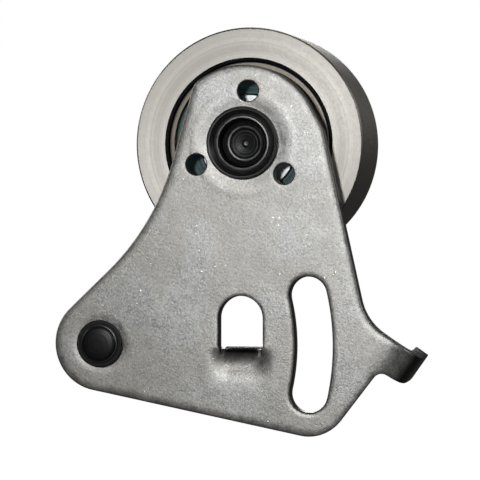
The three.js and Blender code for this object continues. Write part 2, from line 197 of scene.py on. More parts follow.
def resample(runs, step):
    """Joins curved runs of points with straight stretches into one closed loop."""
    points = []
    for i, run in enumerate(runs):
        points += list(run)
        a, b = np.array(run[-1]), np.array(runs[(i + 1) % len(runs)][0])
        n = int(np.linalg.norm(b - a) / step)
        points += [a + (b - a) * k / n for k in range(1, n)] if n > 1 else []
    kept = [points[0]]
    for p in points[1:]:
        if np.linalg.norm(np.array(p) - kept[-1]) > 1e-4:
            kept.append(p)
    if np.linalg.norm(np.array(kept[0]) - kept[-1]) < 1e-4:
        kept.pop()
    return np.array(kept, float)


def straight_sided(sides, step=0.6):
    """The outline that straight sides enclose, each corner a tangent arc.
    A side is a centre, a distance from it, a heading in degrees and its end corner's radius."""
    lines = []
    for centre, off, heading, corner in sides:
        d = unit(heading)
        lines.append((np.array(centre) + off * np.array([d[1], -d[0]]), d, corner))
    runs = []
    for i, (p, d, corner) in enumerate(lines):
        q, e, _ = lines[(i + 1) % len(lines)]
        turn = math.atan2(cross(d, e), float(d @ e))
        along = cross(q - p, e) / cross(d, e)
        start = p + d * (along - corner * math.tan(abs(turn) / 2))
        middle = start + np.array([-d[1], d[0]]) * math.copysign(corner, turn)
        first = math.atan2(start[1] - middle[1], start[0] - middle[0])
        n = max(6, int(abs(turn) * corner / step))
        runs.append([middle + corner * unit(math.degrees(first + turn * k / n)) for k in range(n + 1)])
    return resample(runs, step)


def arcs_loop(arcs, step=0.6):
    """A closed loop of arcs (x, z, radius, from, to in radians), joined by straight stretches."""
    runs = []
    for x, z, r, a, b in arcs:
        n = max(6, int(abs(b - a) * r / step))
        runs.append([(x + r * math.cos(a + (b - a) * k / n), z + r * math.sin(a + (b - a) * k / n))
                     for k in range(n + 1)])
    return resample(runs, step)


def circle(centre, r, step=0.45):
    return arcs_loop([(centre[0], centre[1], r, 0, 2 * math.pi)], step)


def inside(points, loops):
    """Which points lie in the region between closed loops (odd crossings)."""
    hits = np.zeros(len(points), int)
    for loop in loops:
        a, b = loop, np.roll(loop, -1, 0)
        for p, q in zip(a, b):
            spans = (p[1] > points[:, 1]) != (q[1] > points[:, 1])
            if spans.any():
                x = p[0] + (points[:, 1] - p[1]) / (q[1] - p[1] + 1e-30) * (q[0] - p[0])
                hits += spans & (x > points[:, 0])
    return hits % 2 == 1


def mend_flat_triangles(points, triangles):
    """On a straight rim three points can make a flat triangle: its middle point is given to the
    neighbour across its long side instead."""
    def long_side(triangle):
        sides = [(np.linalg.norm(points[triangle[k]] - points[triangle[k - 1]]), k) for k in range(3)]
        return max(sides)

    owners, flat = {}, []
    for triangle in map(tuple, triangles):
        a, b, c = points[list(triangle)]
        length, _ = long_side(triangle)
        if abs(cross(b - a, c - a)) < 0.002 * length:
            flat.append((length, triangle))
        else:
            for k in range(3):
                owners.setdefault(frozenset((triangle[k], triangle[k - 1])), []).append(triangle)
    good = {triangle for group in owners.values() for triangle in group}
    for _, triangle in sorted(flat, reverse=True):
        k = long_side(triangle)[1]
        a, b, middle = triangle[k - 1], triangle[k], triangle[(k + 1) % 3]
        for other in [t for t in owners.get(frozenset((a, b)), []) if t in good]:
            good.remove(other)
            for old, new in ((a, middle), (b, middle)):
                piece = tuple(new if v == old else v for v in other)
                good.add(piece)
                for j in range(3):
                    owners.setdefault(frozenset((piece[j], piece[j - 1])), []).append(piece)
    return np.array(sorted(good))


def fill(rims, spacing):
    """Extra points inside the region between rims, and triangles over rim and extra points."""
    flat = np.vstack(rims)
    low, high = flat.min(0), flat.max(0)
    grid = []
    for row, z in enumerate(np.arange(low[1], high[1], spacing * 0.87)):
        for x in np.arange(low[0] + (row % 2) * spacing / 2, high[0], spacing):
            grid.append((x, z))
    grid = np.array(grid)
    grid = grid[inside(grid, rims)]
    near = np.array([np.min(np.hypot(flat[:, 0] - x, flat[:, 1] - z)) for x, z in grid])
    grid = grid[near > 0.62 * spacing]
    edges, base = [], 0
    for rim in rims:
        edges += [(base + i, base + (i + 1) % len(rim)) for i in range(len(rim))]
        base += len(rim)
    everything = np.vstack([flat, grid])
    out = geometry.delaunay_2d_cdt([Vector(p) for p in everything], edges, [], 0, 1e-6)
    source = [ids[0] for ids in out[3]]
    triangles = mend_flat_triangles(everything, [[source[v] for v in face] for face in out[2]])
    keep = inside(everything[triangles].mean(1), rims)
    return grid, triangles[keep]


def edge_roll(wide, deep, weight, thickness):
    """Rings (inset, depth) from a sheet's front face over its edge to its rear face: a shallow
    curve that steepens into a round shoulder, the sheared wall, and a small rear rounding."""
    rear = 0.45
    shoulder = min(0.6, 0.36 * wide)
    start = math.radians(SHOULDER_FROM)
    rings = []
    for k in range(6):
        t = k / 5
        rings.append((((wide - shoulder) * (1 - t) + shoulder) * weight, deep * weight * t ** 2))
    for k in range(1, 5):
        t = math.radians(SHOULDER_FROM + (90 - SHOULDER_FROM) * k / 4)
        inset = shoulder * (1 - math.sin(t)) / (1 - math.sin(start))
        rings.append((inset * weight, (deep + shoulder * (math.cos(start) - math.cos(t))) * weight))
    for k in range(3, -1, -1):
        t = math.radians(30 * k)
        depth = thickness - 0.4 * weight * (1 - math.cos(t))
        rings.append((rear * weight * (1 - math.sin(t)), depth))
    return rings


def pressed_sheet(loops, thickness, spacing):
    """Verts (x, depth, z) and faces of a sheet with rolled edges.
    A loop is its points with the material on the left, the width and depth of the roll that
    shearing leaves at the front, and a weight for the roll at each point."""
    rows, faces, count = [], [], 0
    front_rims, rear_rims, front_ids, rear_ids = [], [], [], []
    for points, (wide, deep), weight in loops:
        ahead = np.roll(points, -1, 0) - np.roll(points, 1, 0)
        inward = np.stack([-ahead[:, 1], ahead[:, 0]], 1)
        inward /= np.linalg.norm(inward, axis=1)[:, None]
        n = len(points)
        rings = edge_roll(wide, deep, weight, thickness)
        for inset, depth in rings:
            moved = points + inward * inset[:, None]
            rows.append(np.stack([moved[:, 0], depth, moved[:, 1]], 1))
        for j in range(len(rings) - 1):
            a, b = count + j * n, count + (j + 1) * n
            faces += [(a + i, a + (i + 1) % n, b + (i + 1) % n, b + i) for i in range(n)]
        front_rims.append(rows[-len(rings)][:, [0, 2]])
        rear_rims.append(rows[-1][:, [0, 2]])
        front_ids += list(range(count, count + n))
        rear_ids += list(range(count + (len(rings) - 1) * n, count + len(rings) * n))
        count += len(rings) * n
    for rims, ids, depth in ((front_rims, front_ids, 0.0), (rear_rims, rear_ids, thickness)):
        extra, triangles = fill(rims, spacing)
        rows.append(np.stack([extra[:, 0], np.full(len(extra), depth), extra[:, 1]], 1))
        ids = ids + list(range(count, count + len(extra)))
        count += len(extra)
        faces += [tuple(ids[v] for v in triangle) for triangle in triangles]
    return np.vstack(rows), faces


# ---------------------------------------------------------------- bracket

def along_arm(x, z):
    d = unit(ARM_HEADING)
    w = np.array([-d[1], d[0]])
    return (x - ARM[0]) * d[0] + (z - ARM[1]) * d[1], (x - ARM[0]) * w[0] + (z - ARM[1]) * w[1]


ARM_BEND = -1.0
ARM_ARC = BEND_OUT * math.pi / 2
ARM_END = ARM_BEND + ARM_ARC + 8.4
ARM_LEAD = -6.0
ARM_TIGHTENING = 1.8
LIP_LONG = 3.2
LIP_UP = 0.6
TAPER_UP = 0.7
SHEET_STEP = 0.95


def bracket_outline():
    points = straight_sided([
        (PIVOT, 13.6, -11, 12), (FOOT, 12, 52.5, 2.5),
        (ARM, ARM_BELOW, ARM_HEADING, 2.0), (ARM, ARM_END, ARM_HEADING + 90, 1.0),
        (ARM, ARM_ABOVE, ARM_HEADING + 180, 15), (AXLE, 23.2, 102.65, 8),
        (AXLE, 22, 118, 22), (AXLE, 22, 212, 4.5),
        (AXLE, 18.3, 254, 70), (PIVOT, 13.6, 223.5, 13.6),
    ])
    u, w = along_arm(points[:, 0], points[:, 1])
    up = np.array([-unit(ARM_HEADING)[1], unit(ARM_HEADING)[0]])
    lip = smoothstep(ARM_END - LIP_LONG - 0.9, ARM_END - LIP_LONG + 0.1, u)
    taper = smoothstep(4, ARM_END, u)
    lift = LIP_UP * lip * np.clip(w / ARM_ABOVE, 0, 1) + TAPER_UP * taper * np.clip(-w / ARM_BELOW, 0, 1)
    return points + up[None, :] * lift[:, None]


def tab_front(z):
    """How deep the front of the bent tab lies at a height."""
    rise = np.clip(z - TAB_FOOT_Z, 0, TAB_BEND - 0.02)
    return TAB_SET_BACK + TAB_BEND - np.sqrt(TAB_BEND ** 2 - rise ** 2)


def draw_depth(x, z):
    """How far the sheet is drawn back in a bowl below the window, where the tab's bend takes it
    along: a bend that eases in from below, and softly stays in front of the tab's own face."""
    aside = np.abs(x - WINDOW_X)
    up = z - TAB_BEND_Z + 1.6
    s = np.clip((up + np.sqrt(up ** 2 + 20)) / 2 - 0.25, 0, 6.5)
    bend = BEND_OUT - np.sqrt(BEND_OUT ** 2 - s ** 2)
    limit = tab_front(z) - 0.06
    drawn = (bend + limit - np.sqrt((bend - limit) ** 2 + 0.12)) / 2 + 0.03
    spread = 1 - smoothstep(3.2, 9.8, aside)
    beside_window = smoothstep(-4.6, -0.6, z) * smoothstep(4.8, 6.35, aside)
    above = smoothstep(-1.2, 1.0, z)
    far_below = smoothstep(-17, -11.5, z)
    return np.maximum(drawn, 0) * spread * (1 - beside_window) * (1 - above) * far_below


def dish(x, z):
    """Depth of the front face where riveting has coined it, round the axle and round the pivot."""
    r = np.hypot(x - AXLE[0], z - AXLE[1])
    q = np.hypot(x - PIVOT[0], z - PIVOT[1])
    hub = 0.31 * (1 - smoothstep(9.8, 13.4, r)) - 0.06 * np.exp(-((r - 14.4) / 0.6) ** 2)
    pin = 0.20 * (1 - smoothstep(6.4, 8.4, q))
    return hub + pin


def waviness(x, z):
    low = [noise.noise(Vector((a / 17, b / 17, 3.1))) for a, b in zip(x, z)]
    fine = [noise.noise(Vector((a / 6, b / 6, 8.7))) for a, b in zip(x, z)]
    return 0.10 * np.array(low) + 0.025 * np.array(fine)


def bent_arm(u):
    """Where the arm's front face lies, and its turn, at a distance along the flat sheet.
    The bend starts slowly, tightens steadily and ends square to the plate."""
    t = np.linspace(0, 1, 400)
    turn = math.pi / 2 * t ** ARM_TIGHTENING

    def travelled(slope):
        return np.concatenate([[0], np.cumsum((slope[1:] + slope[:-1]) / 2 * np.diff(t))])

    along, across = travelled(np.cos(turn)), travelled(np.sin(turn))
    long = (ARM_BEND + BEND_OUT - ARM_LEAD) / along[-1]
    s = (u - ARM_LEAD) / long
    ahead = ARM_LEAD + long * np.interp(s, t, along)
    back = long * (np.interp(s, t, across) + np.maximum(s - 1, 0))
    return ahead, back, np.interp(s, t, turn)


def shape_bracket(verts):
    x, depth, z = verts.T
    u, w = along_arm(x, z)
    flat = 1 - smoothstep(-10, ARM_LEAD, u)
    y = FRONT + depth + draw_depth(x, z) + dish(x, z) * (1 - depth / PLATE_T)
    y += waviness(x, z) * flat * (1 - smoothstep(-2, 0, depth - PLATE_T))
    ahead, back, turn = bent_arm(u)
    on_ear = u > ARM_LEAD
    d = unit(ARM_HEADING)
    up = np.array([-d[1], d[0]])
    new_u = np.where(on_ear, ahead - depth * np.sin(turn), u)
    y = np.where(on_ear, FRONT + back + depth * np.cos(turn), y)
    return np.stack([ARM[0] + d[0] * new_u + up[0] * w, y, ARM[1] + d[1] * new_u + up[1] * w], 1)


def hole(loop):
    return loop[::-1].copy()


def bracket_sheet():
    outer = bracket_outline()
    u, _ = along_arm(outer[:, 0], outer[:, 1])
    weight = 1 - 0.45 * smoothstep(-9, 1.5, u) - 0.41 * smoothstep(8, 13, u)
    foot = SLOT_R * np.array([math.cos(SLOT_FROM), math.sin(SLOT_FROM)])
    head = SLOT_R * np.array([math.cos(SLOT_TO), math.sin(SLOT_TO)])
    slot = arcs_loop([
        (0, 0, SLOT_R + SLOT_HALF, SLOT_FROM, SLOT_TO),
        (*head, SLOT_HALF, SLOT_TO, SLOT_TO + math.pi),
        (0, 0, SLOT_R - SLOT_HALF, SLOT_TO, SLOT_FROM),
        (*foot, SLOT_HALF, SLOT_FROM - math.pi, SLOT_FROM),
    ])
    c = 0.9
    window = arcs_loop([
        (WINDOW_X - WINDOW_HALF + c, WINDOW_FOOT + c, c, math.pi, 1.5 * math.pi),
        (WINDOW_X + WINDOW_HALF - c, WINDOW_FOOT + c, c, -0.5 * math.pi, 0),
        (WINDOW_X, WINDOW_TOP - WINDOW_HALF, WINDOW_HALF, 0, math.pi),
    ], 0.45)
    holes = [
        (slot, (1.7, 0.11)), (window, (1.1, 0.08)),
        (circle(PIVOT, PIVOT_HOLE_R), (0.2, 0.1)), (circle(AXLE, AXLE_HOLE_R), (0.2, 0.1)),
    ]
    for i in range(TOOL_HOLES):
        centre = np.array(AXLE) + TOOL_CIRCLE_R * unit(FIRST_TOOL_HOLE + 360 / TOOL_HOLES * i)
        holes.append((circle(centre, TOOL_HOLE_R, 0.3), (0.35, 0.12)))
    loops = [(outer, (2.45, 0.17), weight)]
    loops += [(hole(points), roll, np.ones(len(points))) for points, roll in holes]
    verts, faces = pressed_sheet(loops, PLATE_T, SHEET_STEP)
    return shape_bracket(verts), faces


def tab_sheet():
    arc = TAB_BEND * math.pi / 2
    root, corner = -2.5, 0.5
    loop = arcs_loop([
        (WINDOW_X - TAB_HALF + corner, root, corner, math.pi, 1.5 * math.pi),
        (WINDOW_X + TAB_HALF - corner, root, corner, -0.5 * math.pi, 0),
        (WINDOW_X, arc + TAB_BEYOND_BEND - TAB_HALF, TAB_HALF, 0, math.pi),
    ])
    verts, faces = pressed_sheet([(loop, (0.45, 0.1), np.ones(len(loop)))], TAB_T, SHEET_STEP)
    x, depth, a = verts.T
    turn = np.clip(a / TAB_BEND, 0, math.pi / 2)
    rho = TAB_BEND - depth
    z = TAB_FOOT_Z + rho * np.sin(turn) + np.minimum(a, 0)
    y = FRONT + TAB_SET_BACK + TAB_BEND - rho * np.cos(turn) + np.maximum(0, a - arc)
    return np.stack([x, y, z], 1), faces


def bracket():
    plate = finish_mesh("bracket_sheet", *bracket_sheet())
    tab = finish_mesh("bracket_tab", *tab_sheet())
    union = plate.modifiers.new("tab", "BOOLEAN")
    union.operation = "UNION"
    union.solver = "EXACT"
    union.object = tab
    bpy.context.view_layer.update()
    joined = bpy.data.meshes.new_from_object(plate.evaluated_get(bpy.context.evaluated_depsgraph_get()))
    plate.modifiers.clear()
    bpy.data.objects.remove(tab)
    bm = bmesh.new()
    bm.from_mesh(joined)
    soften(bm, 38)
    bm.to_mesh(joined)
    bm.free()
    plate.data = joined
    return plate


# ---------------------------------------------------------------- turned and pressed pieces

def axle_pin():
    """Blind stepped bore in front, flange, neck through the bracket, bearing seat, rear head."""
    f = AXLE_FACE
    flange_back = FRONT - FIT + 0.9
    seat_r = BEARING_BORE_R - FIT
    neck_r = AXLE_HOLE_R - FIT
    under = BEARING_REAR + FIT
    end = under + 3.2
    bore = [
        (0, f + 5.9), (0.55, f + 5.75, 0.2), (1.1, f + 5.3, 0.2), (4.25, f + 4.75, 0.15),
        (4.4, f + 4.15, 0.15), (5.2, f + 3.95, 0.2), (5.6, f + 4.25, 0.15), (6.4, f + 3.9, 0.2),
        (6.8, f + 1.2, 0.15), (7.1, f + 0.75, 0.15), (7.6, f + 0.8, 0.15), (8.15, f + 1.3, 0.2),
    ]
    flange = [
        (8.8, f + 0.7, 0.2), (9.4, f + 0.12, 0.25), (10, f, 0.2), (10.3, f + 0.3, 0.2),
        (10.3, flange_back, 0.1),
    ]
    shank = [
        (neck_r, flange_back, 0.05), (neck_r, REAR + FIT, 0.05),
        (seat_r, REAR + FIT, 0.2), (seat_r, under, 0.1),
    ]
    head = [
        (12.6, under, 0.2), (12.6, end - 0.6, 0.25), (12, end, 0.3),
        (3.2, end, 0.2), (2.4, end - 1.1, 0.2), (0, end - 1.6),
    ]
    return turned("hub_axle", bore + flange + shank + head, AXLE, 160)


def ring_profile(inner, outer, y0, y1, cut):
    return [(inner, y0, cut), (outer, y0, cut), (outer, y1, cut), (inner, y1, cut)]


def groove(ward, land):
    r = BALL_R + 0.1
    reach = math.acos(abs(land - PITCH_R) / r)
    points = []
    for k in range(13):
        a = reach * (k / 6 - 1)
        points.append((PITCH_R + ward * r * math.cos(a), BEARING_MID - ward * r * math.sin(a)))
    return points


def bearing_rings():
    f, b = BEARING_FRONT, BEARING_REAR
    inner = [
        (BEARING_BORE_R, f, 0.6), (INNER_LAND_R, f, 0.15), *groove(-1, INNER_LAND_R),
        (INNER_LAND_R, b, 0.15), (BEARING_BORE_R, b, 0.6),
    ]
    seal_seat, face_edge, seal_room = 21.6, 21.9, 1.6
    outer = [
        (face_edge, f, 0.1), (BEARING_R, f, 0.75), (BEARING_R, b, 0.75), (face_edge, b, 0.1),
        (seal_seat, b - 0.3, 0.05), (seal_seat, b - seal_room, 0.05),
        (OUTER_LAND_R, b - seal_room, 0.1), *groove(1, OUTER_LAND_R),
        (OUTER_LAND_R, f + seal_room, 0.1), (seal_seat, f + seal_room, 0.05),
        (seal_seat, f + 0.3, 0.05),
    ]
    return turned("bearing_ring_inner", inner, AXLE, 160), turned("bearing_ring_outer", outer, AXLE, 192)


def seal(name, face, facing):
    section = [
        (14.15, 0.5, 0.1), (14.3, 0.12, 0.1), (14.9, 0.08, 0.15), (15.15, 0.32, 0.1), (15.5, 0.38, 0.1),
        (15.7, 0.2, 0.08), (16.2, 0.18, 0.08), (16.45, 0.34, 0.1), (19.9, 0.3, 0.15), (20.3, 0.04, 0.15),
        (21.0, 0.02, 0.15), (21.35, 0.25, 0.15), (21.35, 1.0, 0.1), (14.3, 1.0, 0.1),
    ]
    return turned(name, [(r, face + facing * d, c) for r, d, c in section], AXLE, 160)


def pulley():
    """A plain rim, bored for the bearing up to a shoulder, with a hollow back."""
    front, rear = PULLEY_FRONT, PULLEY_REAR
    stop = BEARING_REAR + FIT
    shoulder = stop + 2.6
    chamfer = 0.45
    profile = [
        (24.4, front, 0.12), (PULLEY_R - chamfer, front, 0.12),
        (PULLEY_R, front + chamfer, 0.15), (PULLEY_R, rear - chamfer, 0.15),
        (PULLEY_R - chamfer, rear, 0.12), (27.0, rear, 0.12), (26.2, rear - 0.8, 0.2),
        (25.4, shoulder, 0.8), (21.6, shoulder, 0.2), (21.6, stop, 0.15),
        (PULLEY_BORE_R, stop, 0.05), (PULLEY_BORE_R, front + 0.7, 0.1),
    ]
    return turned("pulley_body", profile, AXLE, 224)


def pivot_parts():
    """Flanged bush, pin with a domed head and a groove for the snap ring, and flat washer."""
    face = FRONT - 1.2
    bore, body, seat = PIN_R + 0.1, PIVOT_HOLE_R - FIT, FRONT + 0.1
    bush = [
        (bore, face, 0.15), (6.75, face, 0.3), (6.75, seat, 0.1),
        (body, seat, 0.05), (body, REAR, 0.15), (bore, REAR, 0.15),
    ]
    under = face - FIT
    groove_front, groove_rear, groove_r = SNAP_FRONT - 0.1, SNAP_FRONT + SNAP_T + 0.1, 3.3
    dome = [
        (0, under - 1.2), (1.6, under - 1.18, 4), (3.0, under - 1.12, 4), (4.2, under - 1.0, 2),
        (4.85, under - 0.82, 0.4), (5.08, under - 0.4, 0.05), (5.5, under - 0.32, 0.1),
        (5.5, under, 0.08),
    ]
    shank = [
        (PIN_R, under, 0.05), (PIN_R, groove_front, 0.05), (groove_r, groove_front, 0.05),
        (groove_r, groove_rear, 0.05), (PIN_R, groove_rear, 0.05),
        (PIN_R, -0.6, 0.2), (3.4, 0, 0.2), (0, 0),
    ]
    washer = ring_profile(PIN_R + 0.2, 8.2, REAR + FIT, REAR + 1.6, 0.25)
    return (
        turned("pivot_bush_flanged", bush, PIVOT, 128),
        turned("pivot_pin_domed", dome + shank, PIVOT, 128),
        turned("pivot_washer_flat", washer, PIVOT, 128),
    )


def snap_ring():
    """An open ring with a hole near each end of its gap."""
    gap, inner, outer = 0.5, 3.6, 5.6
    first, last = gap - math.pi / 2, 1.5 * math.pi - gap
    body = arcs_loop([(0, 0, outer, first, last), (0, 0, inner, last, first)], 0.3)
    outlines = [(body, (0.5, 0.4))]
    for ward in (-1, 1):
        eye = (inner + 1.1) * unit(math.degrees(-math.pi / 2 + ward * (gap + 0.26)))
        outlines.append((hole(circle(eye, 0.45, 0.15)), (0.3, 0.3)))
    loops = [(points, roll, np.full(len(points), 0.3)) for points, roll in outlines]
    verts, faces = pressed_sheet(loops, SNAP_T, 0.5)
    verts[:, 1] += SNAP_FRONT
    return finish_mesh("pivot_snap_ring", verts, faces)


def cage_half(name, facing):
    """Pressed ribbon that steps out round each ball."""
    around, thick = 320, 0.7
    radii = [15.4, 15.5, 16.0, 16.75, 17.5, 18.0, 18.1]
    verts, faces = [], []
    for layer in (0, 1):
        for j, r in enumerate(radii):
            soft = 0.06 if j in (0, len(radii) - 1) else 0.0
            for k in range(around):
                a = 2 * math.pi * k / around
                step = 2 * math.pi / BALLS
                from_ball = (a - round(a / step) * step) * PITCH_R
                rise = max(0.0, math.sqrt(max(0.0, (BALL_R + 0.25) ** 2 - from_ball ** 2)) - 0.1)
                away = 0.1 + rise + (thick - soft if layer else soft)
                verts.append((r * math.cos(a), BEARING_MID + facing * away, r * math.sin(a)))
    n = len(radii)
    for j in range(n - 1):
        for k in range(around):
            m = (k + 1) % around
            for layer in (0, 1):
                base = layer * n * around + j * around
                faces.append((base + k, base + m, base + around + m, base + around + k))
    for j in (0, n - 1):
        for k in range(around):
            m = (k + 1) % around
            a, b = j * around, (n + j) * around
            faces.append((a + k, a + m, b + m, b + k))
    return finish_mesh(name, verts, faces, 50, AXLE)


def rivet(name, at):
    grip, head = 0.85, 1.3
    y = BEARING_MID
    profile = [(0, y - head), (0.7, y - head, 0.3), (1.2, y - grip, 0.1), (0.7, y - grip, 0.05),
               (0.7, y + grip, 0.05), (1.2, y + grip, 0.1), (0.7, y + head, 0.3), (0, y + head)]
    return turned(name, profile, at, 24, steps=3)


def ball(name, at):
    profile = [(0, BEARING_MID - BALL_R)]
    for k in range(1, 20):
        a = math.pi * k / 20
        profile.append((BALL_R * math.sin(a), BEARING_MID - BALL_R * math.cos(a)))
    profile.append((0, BEARING_MID + BALL_R))
    return turned(name, profile, at, 40, sharp=60)


# ---------------------------------------------------------------- materials

class Look:
    """A procedural material.  Coordinates are millimetres from the object's own origin."""

    def __init__(self, name, roughness=0.5, metallic=1.0):
        self.material = bpy.data.materials.new(name)
        self.material.use_nodes = True
        self.tree = self.material.node_tree
        self.shader = self.tree.nodes["Principled BSDF"]
        self.shader.inputs["Roughness"].default_value = roughness
        self.shader.inputs["Metallic"].default_value = metallic
        coords = self.add("ShaderNodeTexCoord")
        self.normal = coords.outputs["Normal"]
        self.place = self.vector("MULTIPLY", coords.outputs["Object"], (1 / MM, 1 / MM, 1 / MM)).outputs[0]
        flat = self.vector("MULTIPLY", self.place, (1, 0, 1)).outputs[0]
        self.radius = self.vector("LENGTH", flat).outputs["Value"]

    def add(self, kind, inputs=None, **settings):
        node = self.tree.nodes.new(kind)
        for key, value in settings.items():
            setattr(node, key, value)
        for key, value in (inputs or {}).items():
            if isinstance(value, bpy.types.NodeSocket):
                self.tree.links.new(value, node.inputs[key])
            else:
                node.inputs[key].default_value = value
        return node

    def math(self, operation, a, b=0.0, c=0.0):
        return self.add("ShaderNodeMath", {0: a, 1: b, 2: c}, operation=operation).outputs[0]

    def vector(self, operation, a, b=(0, 0, 0), c=(0, 0, 0)):
        return self.add("ShaderNodeVectorMath", {0: a, 1: b, 2: c}, operation=operation)

    def parts(self, vector):
        return self.add("ShaderNodeSeparateXYZ", {0: vector}).outputs

    def noise(self, size, detail=2.0, roughness=0.5, stretch=(1, 1, 1), offset=0.0):
        """Noise whose features are about size millimetres."""
        k = 1.0 / size
        scale = tuple(k * s for s in stretch)
        at = self.vector("MULTIPLY_ADD", self.place, scale, (offset, offset, offset)).outputs[0]
        settings = {"Vector": at, "Scale": 1.0, "Detail": detail, "Roughness": roughness}
        return self.add("ShaderNodeTexNoise", settings).outputs["Fac"]

    def rings(self, pitch, detail=2.0, offset=0.0):
        """Noise that changes only with the distance from the Y axis: turning marks."""
        w = self.math("MULTIPLY_ADD", self.radius, 1.0 / pitch, offset)
        settings = {"W": w, "Scale": 1.0, "Detail": detail}
        return self.add("ShaderNodeTexNoise", settings, noise_dimensions="1D").outputs["Fac"]

    def ramp(self, value, low, high, out_low=0.0, out_high=1.0):
        limits = {"From Min": low, "From Max": high, "To Min": out_low, "To Max": out_high}
        node = self.add("ShaderNodeMapRange", {"Value": value, **limits}, interpolation_type="SMOOTHSTEP")
        return node.outputs["Result"]

    def mix(self, factor, a, b):
        node = self.add("ShaderNodeMix", data_type="RGBA")
        for socket, value in ((node.inputs[0], factor), (node.inputs[6], a), (node.inputs[7], b)):
            if isinstance(value, bpy.types.NodeSocket):
                self.tree.links.new(value, socket)
            elif isinstance(value, tuple) and len(value) == 3:
                socket.default_value = (*value, 1)
            else:
                socket.default_value = value
        return node.outputs[2]

    def color(self, socket):
        self.tree.links.new(socket, self.shader.inputs["Base Color"])

    def roughness(self, socket):
        self.tree.links.new(socket, self.shader.inputs["Roughness"])

    def bump(self, layers):
        """Layers of (height 0..1, depth in millimetres), stacked."""
        below = None
        for height, depth in layers:
            inputs = {"Height": height, "Distance": depth * MM, "Strength": 1.0}
            if below is not None:
                inputs["Normal"] = below
            below = self.add("ShaderNodeBump", inputs).outputs[0]
        self.tree.links.new(below, self.shader.inputs["Normal"])

    def turned_grain(self, strength):
        """Highlights that fan out across turning marks, which run round the Y axis."""
        self.shader.inputs["Anisotropic"].default_value = strength
        self.shader.inputs["Anisotropic Rotation"].default_value = 0.25
        tangent = self.add("ShaderNodeTangent", direction_type="RADIAL", axis="Y")
        self.tree.links.new(tangent.outputs[0], self.shader.inputs["Tangent"])

    def band(self, low, high, soft=0.08):
        """1 where the distance from the Y axis lies between low and high."""
        rise = self.ramp(self.radius, low - soft, low + soft)
        fall = self.ramp(self.radius, high - soft, high + soft, 1.0, 0.0)
        return self.math("MULTIPLY", rise, fall)


def raw_steel():
    """Tumbled bare sheet: fine peened grain, faint mottling, bright nicks, painted shade that darkens and
    browns it towards the pivot's corner, and dark where it was sheared, partly the wall's own colour and
    partly painted shade, with one burnished band that is partly a painted reflection."""
    look = Look("tumbled_sheet_steel")
    cloud = look.noise(16, 3, 0.55)
    blotch = look.noise(3.4, 4, 0.6, offset=5)
    grain = look.noise(0.60, 3, 0.65, offset=9)
    fine = look.noise(0.30, 2, 0.6, offset=2)
    tone = look.math("MULTIPLY_ADD", grain, 0.62, look.math("MULTIPLY", fine, 0.42))
    tone = look.math("MULTIPLY_ADD", blotch, 0.36, tone)
    base = look.mix(look.ramp(tone, 0.47, 0.93), (0.262, 0.260, 0.250), (0.76, 0.757, 0.742))
    warm = look.ramp(cloud, 0.36, 0.64, 0.42, 0.0)
    base = look.mix(warm, base, (0.42, 0.385, 0.335))
    place = look.parts(look.place)
    # painted shade: the sheet is painted darker and browner towards the lower left, the pivot's corner,
    # where the light falls off
    lower_left_painted_shade = look.ramp(look.math("MULTIPLY_ADD", place["Z"], 0.8, place["X"]), -10, 60, 0.22, 0.0)
    base = look.mix(lower_left_painted_shade, base, (0.27, 0.255, 0.23))
    cells = look.vector("MULTIPLY", look.place, (0.5, 0.5, 0.5)).outputs[0]
    voronoi = look.add("ShaderNodeTexVoronoi", {"Vector": cells, "Scale": 1.0}, feature="F1")
    nick = voronoi.outputs["Distance"]
    chosen = look.ramp(look.noise(9, 1, 0.5, offset=31), 0.50, 0.60)
    spot = look.math("MULTIPLY", look.ramp(nick, 0.06, 0.15, 1.0, 0.0), chosen)
    base = look.mix(look.math("MULTIPLY", spot, 0.6), base, (0.86, 0.86, 0.84))
    side = look.math("ABSOLUTE", look.parts(look.normal)["Y"])
    # a lighter band on the walls: partly the shear's real burnished zone, partly a painted reflection of
    # the pale pulley face
    burnish_from = look.ramp(place["Y"], FRONT + 1.0, FRONT + 1.25)
    burnish_to = look.ramp(place["Y"], FRONT + 1.7, FRONT + 2.0, 1.0, 0.0)
    burnish_and_reflection = look.math("MULTIPLY", burnish_from, burnish_to)
    # the sheared walls are painted near black: partly the rough shear's own dark colour, partly painted
    # shade
    cut = look.mix(look.math("MULTIPLY", burnish_and_reflection, 0.8), (0.016, 0.015, 0.013), (0.15, 0.147, 0.138))
    sheared = look.ramp(side, 0.58, 0.93, 1.0, 0.0)
    base = look.mix(look.math("MULTIPLY", sheared, 0.94), base, cut)
    look.color(base)
    rough = look.math("MULTIPLY_ADD", grain, 0.14, look.ramp(blotch, 0.3, 0.7, 0.32, 0.39))
    look.roughness(look.math("SUBTRACT", rough, look.math("MULTIPLY", spot, 0.15)))
    look.bump([(blotch, 0.030), (grain, 0.040), (fine, 0.022), (spot, 0.02)])
    return look.material


